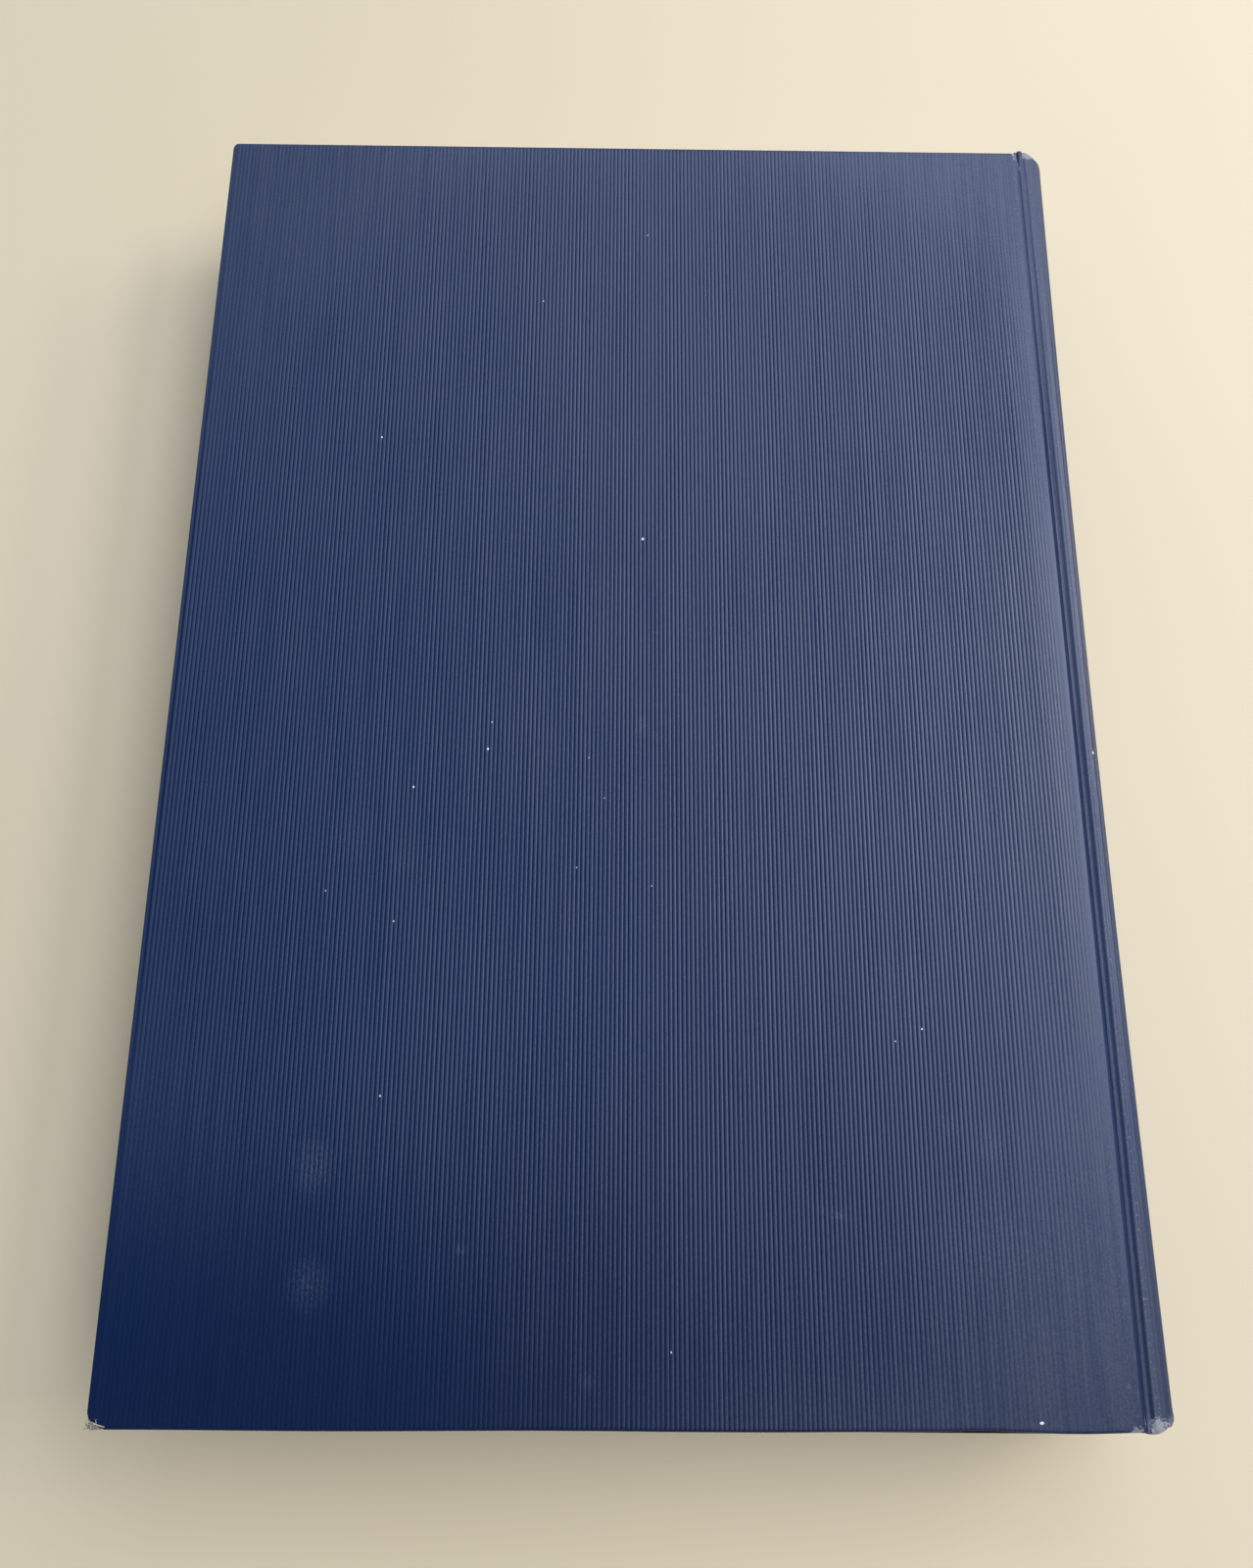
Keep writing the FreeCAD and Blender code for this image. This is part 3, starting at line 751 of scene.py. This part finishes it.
def strip_section(path, build):
    """A closed thin section: the path, and the way back on its right-hand side at the strip's thickness."""
    path = np.array(path, float)
    along = np.gradient(path, axis=0)
    along /= np.linalg.norm(along, axis=1, keepdims=True)
    aside = np.stack([along[:, 1], -along[:, 0]], axis=1)
    return np.vstack([path, (path + aside * build)[::-1]])


def rounded_path(corners, samples):
    """Points along straight runs between corners, spread evenly and blurred so that the corners round."""
    corners = np.array(corners, float)
    run = np.concatenate([[0], np.cumsum(np.linalg.norm(np.diff(corners, axis=0), axis=1))])
    even = np.linspace(0, run[-1], samples)
    path = np.stack([np.interp(even, run, corners[:, k]) for k in (0, 1)], axis=1)
    for _ in range(3):
        path[1:-1] = (path[:-2] + 2 * path[1:-1] + path[2:]) / 4
    return path


def joint_strip(name, section, rows, material, upper, marks, lift=0.0):
    """A thin strip along a joint: its section carried along y, and raised near head and tail."""
    points = np.zeros((len(rows), len(section), 3))
    points[..., 0] = section[:, 0]
    points[..., 1] = rows[:, None]
    points[..., 2] = section[:, 1] + np.broadcast_to(lift, rows.shape)[:, None]
    if not upper:
        points = turned_over(points)
    return grid_piece(name, points, material, around=True, capped=True, marks=marks)


def cloth_joint(side, material, upper):
    """The cloth in the joint, from under the cover's rolled edge to the groove's floor."""
    edge_z = thickness - 0.04 - JOINT_DROP
    path = rounded_path([(cover_right - 0.35, edge_z + 0.08), (cover_right - 0.05, edge_z - 0.04),
                         (cover_right + 0.25, edge_z - 0.2), (ledge_x + 0.18, groove_floor + 0.02),
                         (ledge_x + 0.45, groove_floor - 0.12)], 30)
    section = strip_section(path, 0.22)
    near = half_cover - 0.1 - np.array([0.0, 0.3, 0.7, 1.2, 1.7, 2.2, 2.8, 5.0, 20.0, 50.0, 90.0, 120.0])
    rows = np.concatenate([-near, near[::-1]])
    in_light = 0.1 + 0.4 * smooth(-20, 110, rows)
    piece = joint_strip(side + "_cloth_joint", section, rows, material, upper,
                        {"rib_tops_and_painted_shade": in_light[:, None], "rub": 0.0}, 0.45 * cap_lift(rows))
    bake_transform(piece)


def paper_joint(side, material, upper):
    """The endpaper's fold in the joint: up the board's edge, across, and down the pages' ledge."""
    leaf_z = leaf_high[2]
    rise = leaf_z + 1.15
    path = rounded_path([(cover_right - 0.5, leaf_z + 0.03), (cover_right + 0.02, leaf_z + 0.03),
                         (cover_right + 0.05, rise), (ledge_x - 0.05, rise),
                         (ledge_x - 0.02, leaf_z + 0.02), (ledge_x - 0.6, leaf_z - 0.03)], 60)
    path = path[5:]
    section = strip_section(path, 0.05)
    rows = np.linspace(-half_pages, half_pages, 3)
    piece = joint_strip(side + "_paper_joint", section, rows, material, upper, {})
    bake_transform(piece)


def page_block(material):
    """The pages: the CAD block's section carried from tail to head.

    The hollow fore-edge is cut from leaves that stand a few hundredths of a millimetre in or out, in
    bundles, and drift slowly along the book. The spine side keeps its round and its ledges."""
    hollow_x = np.array([pages_low[0], pages_low[0] + 3.0])
    depth = hollow_x[1] - hollow_x[0]
    half_stack = pages_top - middle
    bend = (half_stack ** 2 + depth ** 2) / (2 * depth)
    leaves = 130
    z_fore = np.linspace(-half_stack, half_stack, leaves)
    x_fore = hollow_x[1] - bend + np.sqrt(bend ** 2 - z_fore ** 2)
    rows = 13
    y = np.linspace(-half_pages, half_pages, rows)
    single = np.random.default_rng(3).normal(0, 0.035, leaves)
    bundle = np.interp(np.arange(leaves), np.arange(0, leaves + 9, 9),
                       np.random.default_rng(4).normal(0, 0.07, len(np.arange(0, leaves + 9, 9))))
    drift = 0.08 * soft_noise((rows, leaves), 6, 4)
    x_fore = x_fore + single + bundle + drift
    x_fore[:, [0, -1]] = pages_low[0] + 0.02

    shoulder = pages_high[2]
    radius = pages_high[0] - spine_x
    tip = math.asin((shoulder - middle) / radius)
    turn = np.linspace(tip, -tip, 49)
    x_spine = spine_x + radius * np.cos(turn)
    z_spine = middle + radius * np.sin(turn)
    x_top = np.array([-40.0, 20.0, ledge_x, ledge_x])
    z_top = np.array([pages_top, pages_top, pages_top, shoulder])
    x_rest = np.concatenate([x_top, x_spine, x_top[::-1]])
    z_rest = np.concatenate([z_top, z_spine, 2 * middle - z_top[::-1]])
    points = np.zeros((rows, leaves + len(x_rest), 3))
    points[:, :leaves, 0] = x_fore
    points[:, :leaves, 2] = middle + z_fore
    points[:, leaves:, 0] = x_rest
    points[:, leaves:, 2] = z_rest
    points[..., 1] = y[:, None]
    piece = grid_piece("page_block", points, material, around=True, capped=True)
    piece.data.polygons.foreach_set("use_smooth", np.zeros(len(piece.data.polygons), bool))
    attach(piece, "book_block")
    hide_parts("text_block")


def wound_band(name, node, side, material):
    """A head or tail band: a rounded bar bent to the spine's curve, wrapped in slanting turns of yarn.

    The bar's radius swells once for each turn of yarn. The turns change colour every third one."""
    _, high = box_of(node)
    radius = 0.86
    pages_radius = pages_high[0] - spine_x
    ring = pages_radius - 0.9
    reach = math.asin((high[2] - middle) / (pages_radius + 0.4))
    turns = 46
    along = np.linspace(-1, 1, turns * 8)
    around = np.linspace(0, 2 * math.pi, 24, endpoint=False)
    slant = around / (2 * math.pi)
    wind = (along[:, None] + 1) / 2 * turns + slant
    swell = np.abs(np.sin(math.pi * wind))
    blue = (np.floor(wind) % 6 >= 3) * 1.0
    ends = 1 - np.clip((np.abs(along) - 0.97) / 0.03, 0, 1)[:, None] ** 2 * 0.9
    local = radius * ends * (0.86 + 0.14 * swell)
    outward = ring + local * np.cos(around)
    lift = 0.85 + local * np.sin(around)
    turn = reach * along[:, None]
    points = np.zeros((len(along), len(around), 3))
    points[..., 0] = spine_x + outward * np.cos(turn)
    points[..., 2] = middle + outward * np.sin(turn)
    points[..., 1] = side * (half_pages - 0.2 + lift)
    piece = grid_piece(name, points, material, around=True, capped=True,
                       marks={"blue_turn": blue, "swell": swell})
    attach(piece, "book_block")
    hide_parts(node)


def crushed_corner(material):
    """The board laid bare at the fore-edge tail corner: a rough, swollen lump in the corner's place.

    A quarter of a flattened ball about a point inside the corner, with a noisy radius that is
    longest towards the corner's tip."""
    turn = np.linspace(-0.3, 0.5 * math.pi + 0.3, 44)
    lift = np.linspace(-0.5 * math.pi, 0.5 * math.pi, 26)
    rough = soft_noise((len(lift), len(turn)), 21, 1)
    reach = 1.95 + 0.7 * np.exp(-((turn - 0.8) / 0.4) ** 2) + 0.3 * rough
    flat = np.sign(np.cos(lift)) * np.abs(np.cos(lift)) ** 0.45
    wide = reach * flat[:, None]
    points = np.zeros((len(lift), len(turn), 3))
    points[..., 0] = cover_left + 2.1 - wide * np.cos(turn)
    points[..., 1] = -half_cover + 1.95 - wide * np.sin(turn)
    half_height = (thickness - inner_face) / 2 - 0.25
    points[..., 2] = (inner_face + thickness) / 2 + half_height * np.sin(lift)[:, None] + 0.14 * rough
    hub = points[:, :1].copy()
    hub[..., 0] = cover_left + 2.7
    hub[..., 1] = -half_cover + 2.5
    points = np.concatenate([points, hub], axis=1)
    piece = grid_piece("crushed_corner", points, material, around=True, capped=True)
    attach(piece, "back_cover")


def fibre(start, heading, curl, length, thick, rise):
    """Rings of points along one thin tapering thread that curls in plan and rises a little."""
    travel = np.linspace(0, 1, 12)
    angle = heading + curl * travel
    step = length / len(travel)
    x = start[0] + step * np.cumsum(np.cos(angle))
    y = start[1] + step * np.cumsum(np.sin(angle))
    z = np.minimum(start[2] + rise * np.sin(2 * travel), thickness + 0.05)
    line = np.stack([x, y, z], axis=1)
    aside = np.stack([-np.sin(angle), np.cos(angle), 0 * angle], axis=1)
    turn = np.linspace(0, 2 * math.pi, 5, endpoint=False)
    ring = aside[:, None] * np.cos(turn)[:, None] + np.array([0, 0, 1]) * np.sin(turn)[:, None]
    return line[:, None] + (thick * (1 - 0.7 * travel))[:, None, None] * ring


def loose_fibres(material):
    """Frayed board and cloth fibres at the crushed corner.

    Thin curling threads that lie outwards, and first one thicker roll of torn cloth along the tail
    edge. Each thread's rings are joined by quads and closed at both ends."""
    chooser = np.random.default_rng(8)
    corner = np.array([cover_left, -half_cover, thickness])
    threads = [fibre(corner + (1.3, 1.2, 0.0), -0.3, 0.1, 2.2, 0.16, 0.05)]
    for _ in range(70):
        start = corner + (chooser.uniform(0.1, 2.4), chooser.uniform(0.1, 1.7), -chooser.uniform(0.0, 0.9))
        heading = chooser.uniform(-4.0, -0.4)
        threads.append(fibre(start, heading, chooser.uniform(-1.8, 1.8), chooser.uniform(0.3, 0.8),
                             chooser.uniform(0.04, 0.09), chooser.uniform(-0.2, 0.3)))
    rings, sides = threads[0].shape[:2]
    index = np.arange(rings * sides).reshape(rings, sides)
    index = np.hstack([index, index[:, :1]])
    quads = quads_over(index)
    faces = []
    for number in range(len(threads)):
        first = number * rings * sides
        faces += (quads + first).tolist()
        faces.append([first + side for side in range(sides)][::-1])
        faces.append([first + (rings - 1) * sides + side for side in range(sides)])
    piece = mesh_piece("loose_fibres", np.concatenate(threads), faces, material, {})
    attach(piece, "back_cover")


def dress(node, material):
    """Gives a carried-over CAD node a finished material."""
    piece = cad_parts[node]
    for place in range(len(piece.material_slots)):
        piece.material_slots[place].material = material


# The book

worn_cloth = ribbed_bookcloth("worn_ribbed_bookcloth", SCUFFS + HEAD_CRACK, COVER_FLECKS)
spine_bookcloth = ribbed_bookcloth("flecked_ribbed_bookcloth", HEAD_CRACK, SPINE_FLECKS, 1.1)
plain_cloth = ribbed_bookcloth("ribbed_bookcloth")
paper = endpaper()
board = greyboard()

back_points, back_marks = cover_cloth(worn=True)
back_cloth = grid_piece("back_cloth", back_points, worn_cloth, around=True, capped=True, marks=back_marks)
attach(back_cloth, "back_cover")
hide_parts("back_covering")

front_points, front_marks = cover_cloth(worn=False)
front_cloth = grid_piece("front_cloth", turned_over(front_points), plain_cloth, around=True, capped=True,
                         marks=front_marks)
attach(front_cloth, "front_cover")
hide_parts("front_covering")

spine = spine_cloth(spine_bookcloth)
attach(spine, "book_block")
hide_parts("spine_covering")

cloth_joint("back", worn_cloth, True)
cloth_joint("front", plain_cloth, False)
paper_joint("back", paper, True)
paper_joint("front", paper, False)

page_block(page_edges())
yarn = band_yarn()
wound_band("head_roll", "head_band", 1, yarn)
wound_band("tail_roll", "tail_band", -1, yarn)
crushed_corner(board)
loose_fibres(torn_fibres())

for node in ("back_flyleaf", "front_flyleaf", "back_pastedown", "front_pastedown"):
    dress(node, paper)
for node in ("back_board", "front_board"):
    dress(node, board)
dress("spine_inlay", spine_card())
dress("spine_lining", glued_mull())


# The stage


def floor():
    """A wide flat table top under the book."""
    line = np.linspace(-2500.0, 2500.0, 3)
    points = np.zeros((3, 3, 3))
    points[..., 0] = line
    points[..., 1] = line[:, None]
    grid_piece("table", points, table_top())


def lamp(name, place, along, across, watts, colour):
    """A soft rectangular lamp that points at the book, sized along the book's length and across it."""
    light = bpy.data.lights.new(name, "AREA")
    light.shape = "RECTANGLE"
    light.size = along
    light.size_y = across
    light.energy = watts
    light.color = linear(colour)[:3]
    away = np.array(place) / np.linalg.norm(place)
    lengthwise = np.array([0.0, 1.0, 0.0]) - away[1] * away
    lengthwise = lengthwise / np.linalg.norm(lengthwise)
    turn = np.eye(4)
    turn[:3, :3] = np.array([lengthwise, np.cross(away, lengthwise), away]).T
    turn[:3, 3] = place
    holder = bpy.data.objects.new(name, light)
    holder.matrix_world = Matrix(turn.tolist())
    bpy.context.scene.collection.objects.link(holder)


def room_light():
    """Dim even light from all round, weaker from the tail and the fore-edge side."""
    world = bpy.data.worlds.new("studio")
    bpy.context.scene.world = world
    world.use_nodes = True
    tree = world.node_tree
    background = tree.nodes["Background"]
    direction = add(tree, "TexCoord", {}, "Generated")
    to_head = add(tree, "SeparateXYZ", (direction,), "Y")
    to_spine = add(tree, "SeparateXYZ", (direction,), "X")
    lean = add(tree, "Math", (to_spine, 0.35, to_head), operation="MULTIPLY_ADD")
    strength = add(tree, "MapRange", (lean, -0.4, 0.8, 0.19, 0.61), **SMOOTH)
    background.inputs["Color"].default_value = linear("f1f6f4")
    tree.links.new(strength, background.inputs["Strength"])


def camera():
    """The photograph's view: above the tail half, looking down and a little towards the head.

    Its place and turn were fitted to the cover's four corners."""
    picture_width = 1279         # in pixels
    focal_length = 1040          # in the same pixels
    lens = bpy.data.cameras.new("camera")
    lens.sensor_fit = "HORIZONTAL"
    lens.sensor_width = 36.0
    lens.lens = lens.sensor_width * focal_length / picture_width
    lens.clip_start = 0.01
    holder = bpy.data.objects.new("camera", lens)
    holder.location = (-0.004844, -0.064453, 0.218908)
    holder.rotation_euler = (0.23613, -0.00964, 0.00564)
    bpy.context.scene.collection.objects.link(holder)
    bpy.context.scene.camera = holder


floor()
lamp("side_lamp", (1.00, 0.27, 0.92), 0.65, 0.24, 5.6, "fff2e0")
lamp("far_side_lamp", (0.94, 0.47, 0.56), 0.50, 0.10, 2.5, "fff4e4")
lamp("ceiling_lamp", (0.68, 0.17, 1.34), 2.2, 0.6, 12.2, "f8f9fc")
lamp("head_lamp", (0.22, 1.00, 0.93), 0.4, 0.9, 3.2, "eaf0ff")
room_light()
camera()
bpy.context.scene.view_settings.view_transform = "Standard"
